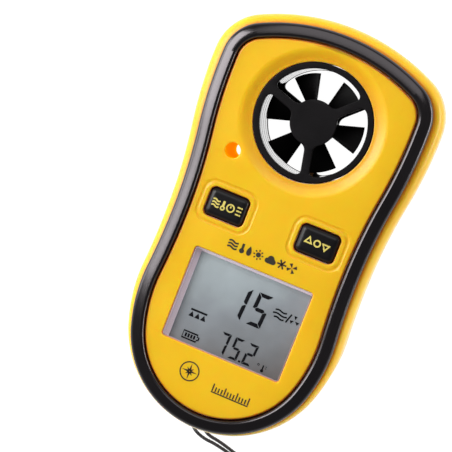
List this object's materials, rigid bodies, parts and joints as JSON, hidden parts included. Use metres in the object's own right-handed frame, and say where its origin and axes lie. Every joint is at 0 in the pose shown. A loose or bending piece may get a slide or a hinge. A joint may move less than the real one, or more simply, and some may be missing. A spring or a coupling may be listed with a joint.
{
  "type": "handheld weather meter",
  "caption": "Pocket weather meter with a vane fan in the top end, segment display, push keys, battery door, rubber edge band and a wrist string.",
  "frame": {"origin": "middle of the flat back, halfway along the case's length and width", "axes": "+Z is the front face's normal, +Y runs along the case towards the fan end, +X to the right seen from the front"},
  "size_m": [0.0592, 0.1343, 0.02],
  "materials": {
    "case_yellow": "smooth satin-gloss yellow ABS",
    "soft_black": "satin black elastomer",
    "fan_black": "fine-textured black nylon",
    "duct_black": "gloss black",
    "key_black": "moulded gloss black",
    "clear_window": "clear polished",
    "frame_lilac": "plain moulded",
    "display": "grey-green reflective liquid crystal",
    "steel": "drawn and polished",
    "shaft_steel": "ground",
    "magnet": "sintered",
    "bearing_brass": "turned",
    "sensor_black": "epoxy package",
    "ribbon": "amber polyimide",
    "sensor_bead": "dipped resin",
    "board_green": "solder mask",
    "chip_black": "moulded epoxy",
    "ceramic": "fired ceramic",
    "contact_rubber": "striped conductive silicone",
    "switch_grey": "moulded",
    "stem_white": "moulded",
    "string": "braided nylon"
  },
  "bodies": {
    "case": {"back_case": "case_yellow", "front_case": "case_yellow", "bumper_band": "soft_black", "fan_duct": "duct_black", "fan_guard_front": "fan_black", "fan_guard_rear": "fan_black", "bearing_front": "bearing_brass", "bearing_rear": "bearing_brass", "hall_sensor": "sensor_black", "sensor_ribbon": "ribbon", "thermistor": "sensor_bead", "main_board": "board_green", "controller_chip": "chip_black", "clock_crystal": "steel", "board_components": "ceramic", "board_screws": "steel", "display_window": "clear_window", "display_frame": "frame_lilac", "display_glass": "display", "display_polariser": "display", "contact_strip_upper": "contact_rubber", "contact_strip_lower": "contact_rubber", "mode_switch": "switch_grey", "set_switch": "switch_grey", "battery_cell": "steel", "battery_spring": "steel", "battery_clip": "steel", "case_screws": "steel", "lanyard_bar": "fan_black", "string_upper": "string", "string_lower": "string", "string_coil": "string", "string_knot": "string"},
    "impeller": {"impeller": "fan_black", "impeller_shaft": "shaft_steel", "rotor_magnet": "magnet"},
    "mode_key": {"mode_button": "key_black", "mode_switch_stem": "stem_white"},
    "set_key": {"set_button": "key_black", "set_switch_stem": "stem_white"},
    "battery_door": {"battery_door": "case_yellow"}
  },
  "joints": [
    {"name": "impeller_spin", "type": "hinge", "parent": "case", "child": "impeller", "pos_m": [0, 0.0283, 0.0141], "axis": [0, 0, 1], "continuous": true},
    {"name": "mode_press", "type": "slide", "parent": "case", "child": "mode_key", "axis": [0, 0, -1], "range_m": [0, 0.0003], "stiffness_N_per_m": 1500},
    {"name": "set_press", "type": "slide", "parent": "case", "child": "set_key", "axis": [0, 0, -1], "range_m": [0, 0.0003], "stiffness_N_per_m": 1500},
    {"name": "battery_door_turn", "type": "hinge", "parent": "case", "child": "battery_door", "pos_m": [0, -0.021, 0.0014], "axis": [0, 0, -1], "range_deg": [0, 45]}
  ]
}
